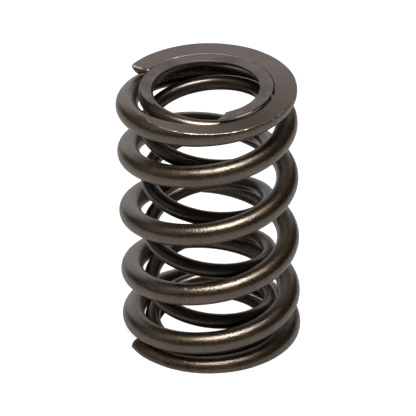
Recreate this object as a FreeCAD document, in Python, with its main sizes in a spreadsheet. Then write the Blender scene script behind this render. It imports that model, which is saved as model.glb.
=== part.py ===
import FreeCAD, Part
import math
import os

# Dual engine valve spring, in millimetres.
# +Z is up along the spring's axis. The origin is the centre of the lower ground face.
# A left-hand inner spring stands inside a right-hand outer spring.
# Each spring is one round wire. Its end turns are closed up, and both ends are ground flat.
# The ends of each spring are alike, except that the outer one's upper face is a little out of square.

doc = FreeCAD.newDocument("ValveSpring")

# Driving dimensions: millimetres, degrees and turns
SIZES = [
    ("free_length", 56.3),         # from ground face to ground face, the same for both springs
    ("outer_diameter", 36.3),      # over the coils of the outer spring
    ("outer_wire", 4.5),           # wire diameter
    ("outer_turns", 5.844),
    ("outer_hand", 1),             # 1 is right-hand, -1 is left-hand
    ("outer_first_angle", 203),    # where the lower tip of the wire is, from +X
    ("outer_tip_lead", 2.2),       # rise per turn at the tips
    ("outer_half_turn_share", 0.12),  # share of the growth to the full lead, half a turn from a tip
    ("outer_one_turn_share", 0.58),   # the same, one turn from a tip
    ("outer_ramp_turns", 2.2),     # turns from a tip to where the lead is full
    ("outer_overrun", 0.25),       # how far the wire's centre is past the ground face at a tip
    ("outer_out_of_square", 0.65),  # how much lower its upper face is at the front than at the back
    ("inner_diameter", 27.2),      # leaves 0.05 mm all round inside the outer coils
    ("inner_wire", 3.05),
    ("inner_turns", 6.748),
    ("inner_hand", -1),
    ("inner_first_angle", 186.9),
    ("inner_tip_lead", 0.2),
    ("inner_half_turn_share", 0.295),
    ("inner_one_turn_share", 0.465),
    ("inner_ramp_turns", 1.98),
    ("inner_overrun", 0.85),
    ("inner_shear_back", 1.5),     # from the end of the wire to the middle of the sheared tip face
    ("inner_shear_slope", 1),      # that face runs this much back per millimetre inwards
    ("inner_shear_depth", 0.76),   # below the ground face, in the gap over the next turn
]
sheet = doc.addObject("Spreadsheet::Sheet", "Sizes")
for row, (alias, value) in enumerate(SIZES, start=1):
    sheet.set(f"A{row}", alias)
    sheet.set(f"B{row}", str(value))
    sheet.setAlias(f"B{row}", alias)
doc.recompute()

POINTS_PER_TURN = 24
VOLUME_TOLERANCE = 0.001           # share by which a swept wire may differ from section times length


def size(alias):
    return float(sheet.get(alias))


def up(height=1.0):
    return FreeCAD.Vector(0, 0, height)


def coil_radius(spring):
    """Radius of the wire's centre line."""
    return (size(f"{spring}_diameter") - size(f"{spring}_wire")) / 2


def grown_turns(spring, turn):
    """The lead's share of its growth, added up over the turns from the tip to here."""
    knots = [
        (0.0, 0.0),
        (0.5, size(f"{spring}_half_turn_share")),
        (1.0, size(f"{spring}_one_turn_share")),
        (size(f"{spring}_ramp_turns"), 1.0),
    ]
    total = max(turn - knots[-1][0], 0.0)
    for (start, low), (end, high) in zip(knots, knots[1:]):
        inside = min(max(turn - start, 0.0), end - start)
        total += low * inside + (high - low) * inside ** 2 / (2 * (end - start))
    return total


def full_lead(spring):
    """Rise per turn in the working coils, which makes the spring as long as it should be."""
    tip_lead = size(f"{spring}_tip_lead")
    middle = size(f"{spring}_turns") / 2
    climb = size("free_length") / 2 + size(f"{spring}_overrun") - tip_lead * middle
    return tip_lead + climb / grown_turns(spring, middle)


def rise_from_tip(spring, turn):
    """Height of the wire's centre line over the ground face, this many turns from the tip."""
    tip_lead = size(f"{spring}_tip_lead")
    grown = (full_lead(spring) - tip_lead) * grown_turns(spring, turn)
    return tip_lead * turn + grown - size(f"{spring}_overrun")


def wire_outward(spring, turn):
    """Direction from the axis to the wire, this many turns up from the lower tip."""
    angle = size(f"{spring}_first_angle") + size(f"{spring}_hand") * 360 * turn
    return FreeCAD.Rotation(up(), angle).multVec(FreeCAD.Vector(1, 0, 0))


def wire_point(spring, turn):
    """Point on the wire's centre line, this many turns up from the lower tip."""
    turns = size(f"{spring}_turns")
    if turn < turns / 2:
        height = rise_from_tip(spring, turn)
    else:
        height = size("free_length") - rise_from_tip(spring, turns - turn)
    return wire_outward(spring, turn) * coil_radius(spring) + up(height)


def add_coil(spring):
    """The round wire, swept along its centre line from the lower tip to the upper one."""
    turns = size(f"{spring}_turns")
    steps = round(turns * POINTS_PER_TURN)
    curve = Part.BSplineCurve()
    curve.interpolate([wire_point(spring, turns * step / steps) for step in range(steps + 1)])
    path = doc.addObject("Part::Feature", f"{spring}_centre_line")
    path.Shape = curve.toShape()

    section = doc.addObject("Part::Circle", f"{spring}_section")
    section.setExpression("Radius", f"Sizes.{spring}_wire / 2")
    start = curve.value(curve.FirstParameter)
    along = curve.tangent(curve.FirstParameter)[0]
    section.Placement = FreeCAD.Placement(start, FreeCAD.Rotation(up(), along))

    coil = doc.addObject("Part::Sweep", f"{spring}_coil")
    coil.Sections = [section]
    coil.Spine = (path, ["Edge1"])
    coil.Solid = True
    coil.Frenet = True
    return coil


def grind_ends(spring, coil):
    """What is left between the two ground faces."""
    stock = doc.addObject("Part::Cylinder", f"{spring}_between_faces")
    stock.setExpression("Radius", f"Sizes.{spring}_diameter")
    stock.setExpression("Height", "Sizes.free_length")
    ground = doc.addObject("Part::Common", f"{spring}_ground")
    ground.Base = coil
    ground.Tool = stock
    return ground


def grind_out_of_square(spring, body):
    """Grind the upper face again, level with the free length at the back and lower at the front."""
    drop = size(f"{spring}_out_of_square")
    slope = math.degrees(math.atan(drop / size(f"{spring}_diameter")))
    wheel = doc.addObject("Part::Cylinder", f"{spring}_wheel")
    wheel.setExpression("Radius", f"Sizes.{spring}_diameter")
    wheel.setExpression("Height", f"Sizes.{spring}_wire")
    turned = FreeCAD.Rotation(FreeCAD.Vector(1, 0, 0), slope)
    wheel.Placement = FreeCAD.Placement(up(size("free_length") - drop / 2), turned)
    ground = doc.addObject("Part::Cut", f"{spring}_out_of_square")
    ground.Base = body
    ground.Tool = wheel
    return ground


def shear_tip(spring, body, end):
    """Shear a tip off at a slant. end is 1 for the upper tip and -1 for the lower one."""
    wire = f"Sizes.{spring}_wire"
    back = f"Sizes.{spring}_shear_back"
    slope = f"Sizes.{spring}_shear_slope"
    depth = f"Sizes.{spring}_shear_depth"
    tool = doc.addObject("Part::Wedge", f"{spring}_shear")
    tool.setExpression("Ymin", f"-{wire}")
    tool.setExpression("Ymax", f"{wire} / 2")
    tool.setExpression("Xmin", f"-{wire} / 20")
    tool.setExpression("X2min", f"-{wire} / 20")
    tool.setExpression("Xmax", f"{back} + {slope} * {wire}")
    tool.setExpression("X2max", f"{back} - {slope} * {wire} / 2")
    for low, high in (("Zmin", "Zmax"), ("Z2min", "Z2max")):
        tool.setExpression(low, f"-{depth}")
        tool.setExpression(high, depth)

    # the wedge's X runs back along the wire from its tip, and its Y runs outwards
    turn = size(f"{spring}_turns") if end > 0 else 0.0
    outward = wire_outward(spring, turn)
    back_along = up().cross(outward) * (-end * size(f"{spring}_hand"))
    tip = outward * coil_radius(spring)
    if end > 0:
        tip += up(size("free_length"))
    axes = FreeCAD.Rotation(back_along, outward, back_along.cross(outward), "XYZ")
    tool.Placement = FreeCAD.Placement(tip, axes)

    sheared = doc.addObject("Part::Cut", f"{spring}_sheared")
    sheared.Base = body
    sheared.Tool = tool
    return sheared


def check_coil(spring, coil):
    """Compare the swept volume with the wire's section times its length."""
    length = coil.Spine[0].Shape.Length
    expected = math.pi * (size(f"{spring}_wire") / 2) ** 2 * length
    share = abs(coil.Shape.Volume / expected - 1)
    print(f"{spring} wire {length:.1f} mm, {coil.Shape.Volume:.1f} mm3, off by {share:.5f}")
    if share > VOLUME_TOLERANCE:
        raise RuntimeError(f"{spring} coil has the wrong volume")


outer_coil = add_coil("outer")
outer_ground = grind_ends("outer", outer_coil)
outer_spring = grind_out_of_square("outer", outer_ground)
outer_spring.Label = "outer_spring"

inner_coil = add_coil("inner")
inner_ground = grind_ends("inner", inner_coil)
inner_upper = shear_tip("inner", inner_ground, 1)
inner_spring = shear_tip("inner", inner_upper, -1)
inner_spring.Label = "inner_spring"

doc.recompute()

for item in doc.Objects:
    if "Invalid" in item.State or "Error" in item.State:
        raise RuntimeError(f"{item.Label} failed: {item.State}")
check_coil("outer", outer_coil)
check_coil("inner", inner_coil)

os.makedirs("parts", exist_ok=True)
for spring in (outer_spring, inner_spring):
    if spring.Shape.isNull() or not spring.Shape.isValid():
        raise RuntimeError(f"{spring.Label} has no valid shape")
    spring.Shape.exportStep(f"parts/{spring.Label}.step")
    box = spring.Shape.optimalBoundingBox(True, False)
    print(
        f"{spring.Label}: {len(spring.Shape.Solids)} solid, {spring.Shape.Volume:.1f} mm3,"
        f" z {box.ZMin:.3f} to {box.ZMax:.3f}"
    )
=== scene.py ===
import bpy
import math
from mathutils import Matrix, Vector


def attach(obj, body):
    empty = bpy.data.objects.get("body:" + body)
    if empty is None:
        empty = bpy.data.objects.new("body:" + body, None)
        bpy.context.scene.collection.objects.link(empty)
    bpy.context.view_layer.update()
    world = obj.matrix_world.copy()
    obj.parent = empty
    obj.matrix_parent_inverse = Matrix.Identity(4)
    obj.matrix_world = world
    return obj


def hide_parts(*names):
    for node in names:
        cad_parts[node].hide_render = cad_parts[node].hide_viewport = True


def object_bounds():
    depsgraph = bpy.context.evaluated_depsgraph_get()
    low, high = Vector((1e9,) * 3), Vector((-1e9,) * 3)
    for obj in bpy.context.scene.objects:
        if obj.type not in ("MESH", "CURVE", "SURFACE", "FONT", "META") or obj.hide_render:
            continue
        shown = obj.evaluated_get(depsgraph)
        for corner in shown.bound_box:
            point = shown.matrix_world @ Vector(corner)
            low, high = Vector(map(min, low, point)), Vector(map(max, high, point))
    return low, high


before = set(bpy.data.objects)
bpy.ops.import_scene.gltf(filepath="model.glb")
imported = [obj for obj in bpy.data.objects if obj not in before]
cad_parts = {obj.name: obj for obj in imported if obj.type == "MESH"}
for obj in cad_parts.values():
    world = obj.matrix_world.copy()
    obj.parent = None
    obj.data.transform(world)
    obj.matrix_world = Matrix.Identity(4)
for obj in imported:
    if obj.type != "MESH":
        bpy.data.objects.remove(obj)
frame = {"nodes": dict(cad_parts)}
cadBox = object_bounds()
print("frame loaded:", ", ".join(frame["nodes"]))

mm = 0.001


# Small helpers for node trees. A Num is a socket that ordinary sums work on.

class Num:
    def __init__(self, tree, socket):
        self.tree = tree
        self.socket = socket

    def sum(self, operation, *others):
        node = self.tree.nodes.new("ShaderNodeMath")
        node.operation = operation
        for slot, value in zip(node.inputs, (self, *others)):
            plug(self.tree, value, slot)
        return Num(self.tree, node.outputs[0])

    def __add__(self, other): return self.sum("ADD", other)
    def __radd__(self, other): return self.sum("ADD", other)
    def __sub__(self, other): return self.sum("SUBTRACT", other)
    def __rsub__(self, other): return (self * -1.0).sum("ADD", other)
    def __mul__(self, other): return self.sum("MULTIPLY", other)
    def __rmul__(self, other): return self.sum("MULTIPLY", other)
    def __truediv__(self, other): return self.sum("DIVIDE", other)
    def __rtruediv__(self, other): return self.sum("POWER", -1.0) * other
    def sin(self): return self.sum("SINE")
    def cos(self): return self.sum("COSINE")
    def atLeast(self, other): return self.sum("MAXIMUM", other)
    def atMost(self, other): return self.sum("MINIMUM", other)
    def above(self, other): return self.sum("GREATER_THAN", other)
    def upTo(self, other): return self.sum("LESS_THAN", other)

    def spread(self, low, high, newLow, newHigh):    # map range, held at both ends
        node = self.tree.nodes.new("ShaderNodeMapRange")
        node.clamp = True
        for slot, value in zip(node.inputs, (self, low, high, newLow, newHigh)):
            plug(self.tree, value, slot)
        return Num(self.tree, node.outputs[0])


def plug(tree, value, slot):
    if isinstance(value, Num):
        value = value.socket
    if isinstance(value, bpy.types.NodeSocket):
        tree.links.new(value, slot)
    else:
        slot.default_value = value


def addNode(tree, kind, plugs=None, **settings):
    node = tree.nodes.new(kind)
    for name, value in settings.items():
        setattr(node, name, value)
    for name, value in (plugs or {}).items():
        plug(tree, value, node.inputs[name])
    return node


def choose(test, yes, no):
    return no + test * (yes - no)


# The springs. Both are made by one geometry nodes tree, as one half from the lower tip
# to the middle, and that half turned end for end.

freeLength = 56.3             # mm, from ground face to ground face

outerSpring = {
    "wire": 4.5,              # mm, like the other lengths here
    "diameter": 36.3,         # over the coils
    "turns": 5.844,
    "hand": 1.0,              # 1 is right-hand, -1 is left-hand
    "firstAngle": 203.0,      # degrees from X to the lower tip
    "tipLead": 2.2,           # rise per turn at the tips
    "halfTurnShare": 0.12,    # of the growth to the full lead, half a turn from a tip
    "oneTurnShare": 0.58,     # the same, one turn from a tip
    "rampTurns": 2.2,         # turns from a tip to where the lead is full
    "overrun": 0.25,          # how far the wire's centre is past the ground face at a tip
    "faceDrop": 0.65,         # the upper face is this much lower at the front than at the back
    "corner": 0.26,           # rounding of the ground face's edge
    "tipCorner": 0.62,        # rounding of the wire's end
    "shearBack": 0.0,         # from the end of the wire to the middle of a sheared tip
    "shearSlope": 0.0,        # how far that tip runs back, per mm inwards
    "ringsPerTurn": 110,      # of the mesh
}
innerSpring = {
    "wire": 3.05,
    "diameter": 27.2,
    "turns": 6.748,
    "hand": -1.0,
    "firstAngle": 186.9,
    "tipLead": 0.2,
    "halfTurnShare": 0.295,
    "oneTurnShare": 0.465,
    "rampTurns": 1.98,
    "overrun": 0.85,
    "faceDrop": 0.0,
    "corner": 0.08,
    "tipCorner": 0.16,
    "shearBack": 1.5,
    "shearSlope": 1.0,
    "ringsPerTurn": 90,
}
wireMesh = {
    "around": 64,             # points around the wire, which four stretches share
    "arcEnd": 44 / 64,        # the round part, a corner, the flat, and the corner by the bore
    "cornerEnd": 48 / 64,
    "flatEnd": 60 / 64,
    "margin": 0.001,          # less than the step from one point to the next
    "faceRings": 2,           # rings from the middle of the tip's face to its edge
    "capRings": 6,            # those and the ones that round that edge
    "shearFade": 8.0,         # mm of wire over which the sheared tip evens out
    "groundTurns": 2.0,       # turns from a tip over which the section follows the ground face
    "leastFlat": 0.02,        # mm, half the width of the narrowest ground face
    "runOut": 0.5,            # that half width, over the wire's radius, where the finish is full
    "weld": 0.002,            # mm
}
edgeWear = {
    "perRing": 0.11,          # how fast the rounding changes along the wire
    "detail": 2.0,
    "noise": (0.3, 0.7),
    "rounding": (0.55, 1.25),  # shares of the corner's rounding
    "boreSide": 0.35,         # share of the wear, on the side towards the bore
}


def makeCoilTree():
    tree = bpy.data.node_groups.new("groundCoil", "GeometryNodeTree")
    face = tree.interface

    def addInput(name, kind="NodeSocketFloat"):
        face.new_socket(name, in_out="INPUT", socket_type=kind)

    for name in ("Free Length", "Coil Radius", "Wire Radius", "Turns", "Hand", "First Angle", "Tip Lead",
                 "Half Turn Share", "One Turn Share", "Ramp Turns", "Overrun", "Face Drop", "Corner",
                 "Tip Corner", "Shear Back", "Shear Slope"):
        addInput(name)
    addInput("Rings", "NodeSocketInt")
    addInput("Material", "NodeSocketMaterial")
    face.new_socket("Geometry", in_out="OUTPUT", socket_type="NodeSocketGeometry")

    given = addNode(tree, "NodeGroupInput").outputs

    def taken(name):
        return Num(tree, given[name])

    length, coilRadius, wireRadius = taken("Free Length"), taken("Coil Radius"), taken("Wire Radius")
    turns, hand, firstAngle = taken("Turns"), taken("Hand"), taken("First Angle")
    tipLead, rampTurns, overrun = taken("Tip Lead"), taken("Ramp Turns"), taken("Overrun")
    around = 2 * math.pi * coilRadius             # wire per turn, seen from above
    knots = ((0.0, 0.0), (0.5, taken("Half Turn Share")), (1.0, taken("One Turn Share")), (rampTurns, 1.0))
    turnedBy = firstAngle * 2.0 + hand * turns * (2 * math.pi)      # from the lower end to the upper one

    def leadShare(turn):                          # of the growth from the tip lead to the full one
        share = 0.0
        for (start, low), (end, high) in zip(knots, knots[1:]):
            share = share + (turn - start).atLeast(0.0).atMost(end - start) * ((high - low) / (end - start))
        return share

    def grownTurns(turn):                         # that share, added up from the tip
        total = (turn - rampTurns).atLeast(0.0)
        for (start, low), (end, high) in zip(knots, knots[1:]):
            inside = (turn - start).atLeast(0.0).atMost(end - start)
            total = total + inside * low + inside * inside * ((high - low) / (end - start) * 0.5)
        return total

    climb = length * 0.5 + overrun - tipLead * turns * 0.5
    leadGrowth = climb / grownTurns(turns * 0.5)

    # grid: X runs along the wire, Y runs around it
    grid = addNode(tree, "GeometryNodeMeshGrid", {
        "Size X": 1.0, "Size Y": 1.0, "Vertices X": given["Rings"], "Vertices Y": wireMesh["around"] + 1})
    here = addNode(tree, "GeometryNodeInputPosition")
    place = addNode(tree, "ShaderNodeSeparateXYZ", {"Vector": here.outputs[0]})
    lastRing = taken("Rings") - 1.0
    ring = ((Num(tree, place.outputs["X"]) + 0.5) * lastRing).sum("ROUND")
    spin = Num(tree, place.outputs["Y"]) + 0.5

    # uneven rounding of the edges that the grinding left
    wander = addNode(tree, "ShaderNodeTexNoise", {
        "W": ring * edgeWear["perRing"], "Scale": 1.0, "Detail": edgeWear["detail"]}, noise_dimensions="1D")
    corner = taken("Corner") * Num(tree, wander.outputs[0]).spread(*edgeWear["noise"], *edgeWear["rounding"])

    # tip: middle, half way, edge of the face, then the rounded edge
    faceRings, capRings = float(wireMesh["faceRings"]), float(wireMesh["capRings"])
    capScale = (ring / faceRings).atMost(1.0)
    rounding = ((ring - faceRings) / (capRings - faceRings)).atLeast(0.0).atMost(1.0) * (math.pi / 2)
    tipInset = taken("Tip Corner") * (1.0 - rounding.sin())
    skin = (corner - tipInset).atLeast(0.0) * capScale
    tipTurn = taken("Tip Corner") / around
    alongShare = ((ring - capRings) / (lastRing - capRings)).atLeast(0.0)
    startTurn = tipTurn * (1.0 - rounding.cos()) + (turns * 0.5 - tipTurn) * alongShare

    def store(geometry, name, value):
        node = addNode(tree, "GeometryNodeStoreNamedAttribute", {"Geometry": geometry, "Name": name},
                       data_type="FLOAT", domain="POINT")
        plug(tree, value, [slot for slot in node.inputs if slot.name == "Value" and slot.enabled][0])
        return node.outputs[0]

    arcEnd, cornerEnd, flatEnd = wireMesh["arcEnd"], wireMesh["cornerEnd"], wireMesh["flatEnd"]
    margin = wireMesh["margin"]

    def halfWire(faceDrop):
        faceSlope = faceDrop / (2.0 * (coilRadius + wireRadius))

        def sectionAt(turn):
            rise = tipLead * turn + leadGrowth * grownTurns(turn) - overrun
            slope = (tipLead + leadGrowth * leadShare(turn)) / around
            slopeCos = 1.0 / (slope * slope + 1.0).sum("SQRT")
            heading = firstAngle + hand * turn * (2 * math.pi)

            # how the ground face lies in the wire's section
            faceHeight = faceDrop * 0.5 - faceSlope * coilRadius * (turnedBy - heading).sin()
            acrossFace = -1.0 * faceSlope * (turnedBy - heading).sin()
            alongFace = faceSlope * (turnedBy - heading).cos()
            downFace = slopeCos * (1.0 + hand * slope * alongFace)
            span = (acrossFace * acrossFace + downFace * downFace).sum("SQRT")
            onEndTurns = (wireMesh["groundTurns"] - turn).atLeast(0.0).atMost(1.0)
            tilt = acrossFace.sum("ARCTAN2", downFace) * onEndTurns

            inner = wireRadius - corner.atLeast(tipInset)
            cut = ((rise - faceHeight) / span - corner).atMost(inner)
            cutAngle = (cut / inner).atLeast(-1.0).sum("ARCSINE")
            onArc = spin.upTo(arcEnd + margin)
            angle = choose(
                onArc,
                spin.spread(0.0, arcEnd, math.pi - cutAngle, 2 * math.pi + cutAngle),
                spin.spread(arcEnd, cornerEnd, 2 * math.pi + cutAngle, 2.5 * math.pi)
                + spin.spread(flatEnd, 1.0, 0.0, 0.5 * math.pi - cutAngle))
            halfFlat = inner * cutAngle.cos()
            out = choose(onArc, inner * angle.cos(), halfFlat * spin.spread(cornerEnd, flatEnd, 1.0, -1.0))
            down = choose(onArc, inner * angle.sin(), cut)
            middle = (cut - inner) * 0.5
            out = out * capScale + skin * angle.cos()
            down = (down - middle) * capScale + middle + skin * angle.sin()
            turnedOut = out * tilt.cos() + down * tilt.sin()
            turnedDown = down * tilt.cos() - out * tilt.sin()
            return {"rise": rise, "slopeSin": slope * slopeCos, "slopeCos": slopeCos,
                    "out": turnedOut, "down": turnedDown, "halfFlat": halfFlat}

        # a sheared tip: rings near it lean back towards the inside of the coil
        nominalOut = sectionAt(startTurn)["out"]
        fade = (1.0 - startTurn * around / (wireMesh["shearFade"] * mm)).atLeast(0.0)
        leanBack = (taken("Shear Back") - taken("Shear Slope") * nominalOut) * fade
        turn = startTurn + leanBack / around
        section = sectionAt(turn)

        heading = firstAngle + hand * turn * (2 * math.pi)
        reach = coilRadius + section["out"]
        lean = hand * section["down"] * section["slopeSin"]
        position = addNode(tree, "ShaderNodeCombineXYZ", {
            "X": reach * heading.cos() - lean * heading.sin(),
            "Y": reach * heading.sin() + lean * heading.cos(),
            "Z": section["rise"] - section["down"] * section["slopeCos"]})

        # marks that the materials read, stored while the grid still has its own positions
        isGround = section["halfFlat"].above(wireMesh["leastFlat"] * mm)
        groundShare = section["halfFlat"].spread(0.0, wireRadius * wireMesh["runOut"], 0.0, 1.0)
        onFlat = spin.above(cornerEnd - margin) * spin.upTo(flatEnd + margin)
        onCorner = spin.above(arcEnd + margin) * (1.0 - onFlat) * spin.upTo(1.0 - margin)
        onTip = ring.upTo(faceRings + 0.5)
        onTipEdge = ring.upTo(capRings - 0.5) * (1.0 - onTip)
        wear = choose(onTipEdge, onFlat, onCorner) * choose(spin.above(flatEnd), edgeWear["boreSide"], 1.0)
        marked = store(grid.outputs["Mesh"], "groundFace", onFlat * groundShare * ring.above(capRings - 0.5))
        marked = store(marked, "cutCorner", wear * isGround * (1.0 - onTip))
        marked = store(marked, "tipFace", onTip)
        return addNode(tree, "GeometryNodeSetPosition", {
            "Geometry": marked, "Position": position.outputs[0]}).outputs[0]

    half = halfWire(taken("Face Drop") * 0.0)
    otherHalf = halfWire(taken("Face Drop"))

    # the other end, turned over
    flip = addNode(tree, "ShaderNodeCombineXYZ", {"X": math.pi, "Z": turnedBy})
    lift = addNode(tree, "ShaderNodeCombineXYZ", {"Z": length})
    otherHalf = addNode(tree, "GeometryNodeTransform", {
        "Geometry": otherHalf, "Translation": lift.outputs[0], "Rotation": flip.outputs[0]}).outputs[0]

    both = addNode(tree, "GeometryNodeJoinGeometry")
    tree.links.new(half, both.inputs[0])
    tree.links.new(otherHalf, both.inputs[0])
    welded = addNode(tree, "GeometryNodeMergeByDistance", {
        "Geometry": both.outputs[0], "Distance": wireMesh["weld"] * mm})
    smooth = addNode(tree, "GeometryNodeSetShadeSmooth", {
        "Geometry": welded.outputs[0], "Shade Smooth": True})
    real = addNode(tree, "GeometryNodeRealizeInstances", {"Geometry": smooth.outputs[0]})
    painted = addNode(tree, "GeometryNodeSetMaterial", {
        "Geometry": real.outputs[0], "Material": given["Material"]})
    ended = addNode(tree, "NodeGroupOutput")
    tree.links.new(painted.outputs[0], ended.inputs[0])
    return tree


def makeSpring(name, node, sizes, tree, material):
    values = {
        "Free Length": freeLength * mm,
        "Coil Radius": (sizes["diameter"] - sizes["wire"]) / 2 * mm,
        "Wire Radius": sizes["wire"] / 2 * mm,
        "Turns": sizes["turns"],
        "Hand": sizes["hand"],
        "First Angle": math.radians(sizes["firstAngle"]),
        "Tip Lead": sizes["tipLead"] * mm,
        "Half Turn Share": sizes["halfTurnShare"],
        "One Turn Share": sizes["oneTurnShare"],
        "Ramp Turns": sizes["rampTurns"],
        "Overrun": sizes["overrun"] * mm,
        "Face Drop": sizes["faceDrop"] * mm,
        "Corner": sizes["corner"] * mm,
        "Tip Corner": sizes["tipCorner"] * mm,
        "Shear Back": sizes["shearBack"] * mm,
        "Shear Slope": sizes["shearSlope"],
        "Rings": round(sizes["ringsPerTurn"] * sizes["turns"] / 2),
        "Material": material,
    }
    holder = bpy.data.objects.new(name + "Maker", bpy.data.meshes.new(name + "Maker"))
    bpy.context.scene.collection.objects.link(holder)
    maker = holder.modifiers.new("coil", "NODES")
    maker.node_group = tree
    for item in tree.interface.items_tree:
        if item.in_out == "INPUT":
            maker[item.identifier] = values[item.name]
    ready = holder.evaluated_get(bpy.context.evaluated_depsgraph_get())
    mesh = bpy.data.meshes.new_from_object(ready)
    mesh.name = name
    bpy.data.meshes.remove(holder.data)

    piece = bpy.data.objects.new(name, mesh)
    bpy.context.scene.collection.objects.link(piece)
    if signedVolume(mesh) < 0:
        mesh.flip_normals()
    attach(piece, "root")
    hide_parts(node)
    print(name, "made:", len(mesh.vertices), "points,", len(mesh.polygons), "faces, volume",
          round(signedVolume(mesh) / mm ** 3, 1), "mm3")


def signedVolume(mesh):
    mesh.calc_loop_triangles()
    spots = [point.co for point in mesh.vertices]
    total = 0.0
    for triangle in mesh.loop_triangles:
        a, b, c = (spots[i] for i in triangle.vertices)
        total += a.dot(b.cross(c))
    return total / 6


# Materials

steelLooks = {
    "outerSteel": {
        "dark": (0.055, 0.032, 0.012),     # the grain of the drawn wire
        "light": (0.238, 0.142, 0.062),
        "roughness": (0.32, 0.40),
        "film": 1.0,               # oxide and oil over it
        "filmIor": 2.05,
        "grain": 3.7,              # per mm
        "grainDepth": 0.056,       # mm
        "worn": (0.74, 0.66, 0.58),    # bare metal along the ground face's edge
        "ground": (0.258, 0.200, 0.178),
        "groundDark": 0.88,        # share of that, between the scratches
        "groundRoughness": 0.50,
        "paintedFrontShade": {                       # painted shade: the front of the upper face is darker and browner
            "place": (9.0, -13.8, 56.0),   # mm
            "reach": (2.0, 22.0),          # full within the first, gone past the second
            "colour": (0.090, 0.060, 0.035),
        },
    },
    "innerSteel": {
        "dark": (0.078, 0.058, 0.043),
        "light": (0.136, 0.102, 0.076),
        "roughness": (0.30, 0.36),
        "film": 0.8,
        "filmIor": 1.6,
        "grain": 3.6,
        "grainDepth": 0.011,
        "worn": (0.26, 0.22, 0.19),
        "ground": (0.278, 0.233, 0.216),
        "groundDark": 0.52,
        "groundRoughness": 0.50,
    },
}
noises = {                         # blotches per mm, detail, and the range that counts
    "patches": (0.22, 3.0, (0.35, 0.68)),
    "gloss": (0.9, 3.0, (0.3, 0.7)),
    "wear": (1.1, 3.0, (0.46, 0.60)),
}
finish = {
    "filmRoughness": 0.25,
    "filmGround": 0.4,             # share of the film that is left on the ground faces
    "patchShare": 0.35,            # of the wire's shade, and the grain makes the rest
    "middle": (0.36, 0.64),        # range of the fine noises that counts
    "grindingAngle": 0.5,          # radians from X
    "grinding": (5.0, 1.1, 1.0),   # scratches per mm, across, along and down
    "grindingDetail": 4.0,
    "pits": 5.0,                   # per mm
    "groundShares": (0.5, 0.3, 0.2),   # scratches, pits and patches
    "groundGloss": 0.15,           # how much the scratches change the roughness
    "groundDepth": 0.3,            # share of the grain's depth
    "tipShares": (0.25, 0.6),      # of the dark colour, on the tip's face
}


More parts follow.
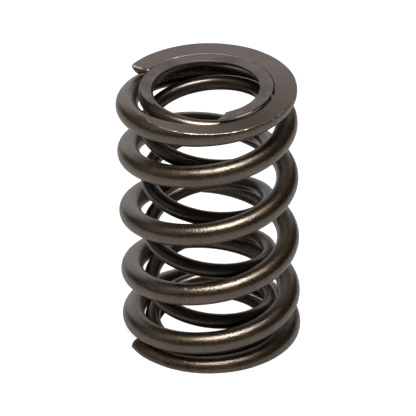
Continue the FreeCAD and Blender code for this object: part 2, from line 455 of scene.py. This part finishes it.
def makeSteel(name, look):
    material = bpy.data.materials.new(name)
    material.use_nodes = True
    tree = material.node_tree
    tree.nodes.clear()
    shader = addNode(tree, "ShaderNodeBsdfPrincipled")
    shader.inputs["Metallic"].default_value = 1.0
    shader.inputs["Coat Roughness"].default_value = finish["filmRoughness"]
    shader.inputs["Coat IOR"].default_value = look["filmIor"]
    output = addNode(tree, "ShaderNodeOutputMaterial")
    tree.links.new(shader.outputs[0], output.inputs["Surface"])

    spot = addNode(tree, "ShaderNodeTexCoord").outputs["Object"]
    perMm = addNode(tree, "ShaderNodeMapping", {"Vector": spot, "Scale": (1 / mm, 1 / mm, 1 / mm)}).outputs[0]

    def noise(scale, detail=2.0, vector=perMm):
        node = addNode(tree, "ShaderNodeTexNoise", {"Vector": vector, "Scale": scale, "Detail": detail})
        return Num(tree, node.outputs[0])

    def noiseOf(name, first=0.0, last=1.0):
        scale, detail, counts = noises[name]
        return noise(scale, detail).spread(*counts, first, last)

    def mark(attribute):
        node = addNode(tree, "ShaderNodeAttribute", attribute_type="GEOMETRY", attribute_name=attribute)
        return Num(tree, node.outputs["Fac"])

    def mix(share, first, second):
        node = addNode(tree, "ShaderNodeMix", data_type="RGBA")
        plug(tree, share, node.inputs["Factor"])
        for slot, colour in ((node.inputs["A"], first), (node.inputs["B"], second)):
            colourSlot = [s for s in node.inputs if s.name == slot.name and s.type == "RGBA"][0]
            plug(tree, (*colour, 1.0) if isinstance(colour, tuple) else colour, colourSlot)
        return [s for s in node.outputs if s.type == "RGBA"][0]

    ground, edge, tip = mark("groundFace"), mark("cutCorner"), mark("tipFace")
    film = look["film"] * choose(ground, finish["filmGround"], 1.0)
    plug(tree, film, shader.inputs["Coat Weight"])

    patches = noiseOf("patches")
    speckle = noise(look["grain"])
    grain = speckle.spread(*finish["middle"], 0.0, 1.0)
    coat = mix(choose(finish["patchShare"], patches, grain), look["dark"], look["light"])

    stretched = addNode(tree, "ShaderNodeMapping", {
        "Vector": perMm, "Rotation": (0, 0, finish["grindingAngle"]), "Scale": finish["grinding"]}).outputs[0]
    scratches = noise(1.0, finish["grindingDetail"], stretched)
    groundNoises = (scratches, noise(finish["pits"]), patches)
    groundShade = sum(part * share for part, share in zip(groundNoises, finish["groundShares"]))
    groundShade = groundShade.spread(*finish["middle"], 0.0, 1.0)
    darkGround = tuple(v * look["groundDark"] for v in look["ground"])
    groundCoat = mix(groundShade, darkGround, look["ground"])
    # painted shade: the ground colour turns darker and browner towards a spot at the front of the upper face
    if "paintedFrontShade" in look:
        paintedFrontShade = look["paintedFrontShade"]
        away = addNode(tree, "ShaderNodeVectorMath", operation="DISTANCE")
        tree.links.new(perMm, away.inputs[0])
        away.inputs[1].default_value = paintedFrontShade["place"]
        paintedShadeShare = Num(tree, away.outputs["Value"]).spread(*paintedFrontShade["reach"], 1.0, 0.0)
        groundCoat = mix(paintedShadeShare, groundCoat, paintedFrontShade["colour"])
    tipDark, tipLight = (tuple(v * share for v in look["dark"]) for share in finish["tipShares"])
    tipCoat = mix(speckle, tipDark, tipLight)

    wornEdge = edge * noiseOf("wear")
    colour = mix(ground, coat, groundCoat)
    colour = mix(tip, colour, tipCoat)
    colour = mix(wornEdge, colour, look["worn"])
    tree.links.new(colour, shader.inputs["Base Color"])

    groundRoughness = look["groundRoughness"] + (scratches - 0.5) * finish["groundGloss"]
    roughness = choose(ground, groundRoughness, noiseOf("gloss", *look["roughness"]))
    plug(tree, roughness, shader.inputs["Roughness"])

    height = choose(ground, scratches * finish["groundDepth"], speckle) * (look["grainDepth"] * mm)
    bump = addNode(tree, "ShaderNodeBump", {"Strength": 1.0, "Distance": 1.0})
    plug(tree, height, bump.inputs["Height"])
    tree.links.new(bump.outputs[0], shader.inputs["Normal"])
    tree.links.new(bump.outputs[0], shader.inputs["Coat Normal"])
    return material


coilTree = makeCoilTree()
steels = {name: makeSteel(name, look) for name, look in steelLooks.items()}
makeSpring("outerSpring", "outer_spring", outerSpring, coilTree, steels["outerSteel"])
makeSpring("innerSpring", "inner_spring", innerSpring, coilTree, steels["innerSteel"])


# Stage: a pale floor, a dim world and soft lights

stage = {
    "floorSize": 8.0,          # m
    "gap": 0.02,               # mm under the spring
    "floorColour": (0.25, 0.25, 0.25),
    "floorGlow": 0.93,         # that only the camera sees
    "floorReflected": 0.12,    # glow that the metal reflects
    "world": 0.025,            # to all but the camera, which sees white
    "aim": (0, 0, 0.028),      # m, the middle of the spring, where the lights point
}
lights = {                     # m, and the glow of the lit face
    "overhead": {"place": (0.02, -0.13, 1.00), "size": (0.48, 0.43), "glow": 18.8},
    "backdrop": {"place": (-0.15, 1.5, 0.50), "size": (2.1, 1.0), "glow": 0.54},
    "leftWall": {"place": (-1.1, -0.15, 0.95), "size": (1.3, 1.3), "glow": 0.17},
    "frontFill": {"place": (0.3, -1.6, 0.52), "size": (2.4, 1.0), "glow": 0.05},
}


def makeFloor():
    half = stage["floorSize"] / 2
    mesh = bpy.data.meshes.new("floor")
    corners = [(-half, -half, 0), (half, -half, 0), (half, half, 0), (-half, half, 0)]
    mesh.from_pydata(corners, [], [(0, 1, 2, 3)])
    floor = bpy.data.objects.new("floor", mesh)
    floor.location.z = cadBox[0][2] - stage["gap"] * mm
    bpy.context.scene.collection.objects.link(floor)
    material = bpy.data.materials.new("paleFloor")
    material.use_nodes = True
    tree = material.node_tree
    tree.nodes.clear()
    paint = addNode(tree, "ShaderNodeBsdfDiffuse", {"Color": (*stage["floorColour"], 1.0)})
    path = addNode(tree, "ShaderNodeLightPath")
    seen, reflected = Num(tree, path.outputs["Is Camera Ray"]), Num(tree, path.outputs["Is Glossy Ray"])
    strength = seen * stage["floorGlow"] + reflected * stage["floorReflected"]
    glow = addNode(tree, "ShaderNodeEmission", {"Color": (1, 1, 1, 1), "Strength": strength})
    added = addNode(tree, "ShaderNodeAddShader")
    tree.links.new(paint.outputs[0], added.inputs[0])
    tree.links.new(glow.outputs[0], added.inputs[1])
    output = addNode(tree, "ShaderNodeOutputMaterial")
    tree.links.new(added.outputs[0], output.inputs["Surface"])
    mesh.materials.append(material)


def makeWorld():
    world = bpy.data.worlds.new("studio")
    world.use_nodes = True
    tree = world.node_tree
    sky = tree.nodes["Background"]
    sky.inputs["Color"].default_value = (1, 1, 1, 1)
    seen = Num(tree, addNode(tree, "ShaderNodeLightPath").outputs["Is Camera Ray"])
    plug(tree, choose(seen, 1.0, stage["world"]), sky.inputs["Strength"])
    bpy.context.scene.world = world


def makeLight(name, look):
    data = bpy.data.lights.new(name, "AREA")
    data.shape = "RECTANGLE"
    data.size, data.size_y = look["size"]
    data.energy = look["glow"] * math.pi * look["size"][0] * look["size"][1]
    lamp = bpy.data.objects.new(name, data)
    lamp.location = look["place"]
    aim = Vector(stage["aim"]) - lamp.location
    lamp.rotation_euler = aim.to_track_quat("-Z", "Y").to_euler()
    bpy.context.scene.collection.objects.link(lamp)


makeFloor()
makeWorld()
for name, look in lights.items():
    makeLight(name, look)
print("stage set")


# Camera: where the photograph was taken from

camera = {
    "elevation": 30.99,      # degrees above level
    "distance": 0.9476,      # m from the middle of the spring
    "scale": 4.951,          # photograph pixels per mm at that distance
    "roll": 1.375,           # degrees that the spring leans to the left
    "middle": (208.52, 207.62),    # the photograph's pixel where that middle is
    "frame": 416,            # pixels
    "sensor": 36.0,          # mm
    "farthest": 50.0,        # m that the camera still shows
}


def makeCamera():
    data = bpy.data.cameras.new("camera")
    data.sensor_width = camera["sensor"]
    data.lens = camera["scale"] * camera["distance"] / mm / camera["frame"] * camera["sensor"]
    centre = (camera["frame"] - 1) / 2
    data.shift_x = (centre - camera["middle"][0]) / camera["frame"]
    data.shift_y = (camera["middle"][1] - centre) / camera["frame"]
    data.clip_end = camera["farthest"]
    eye = bpy.data.objects.new("camera", data)
    bpy.context.scene.collection.objects.link(eye)
    low, high = cadBox
    target = Vector((0, 0, (low[2] + high[2]) / 2))
    tilt = math.radians(camera["elevation"])
    roll = math.radians(camera["roll"])
    away = Vector((0, -math.cos(tilt), math.sin(tilt)))
    level = Vector((1, 0, 0))
    upright = away.cross(level)
    right = level * math.cos(roll) - upright * math.sin(roll)
    up = level * math.sin(roll) + upright * math.cos(roll)
    axes = Matrix((right, up, away)).transposed().to_4x4()
    eye.matrix_world = Matrix.Translation(target + away * camera["distance"]) @ axes
    bpy.context.scene.camera = eye


makeCamera()
bpy.context.scene.view_settings.view_transform = "Standard"
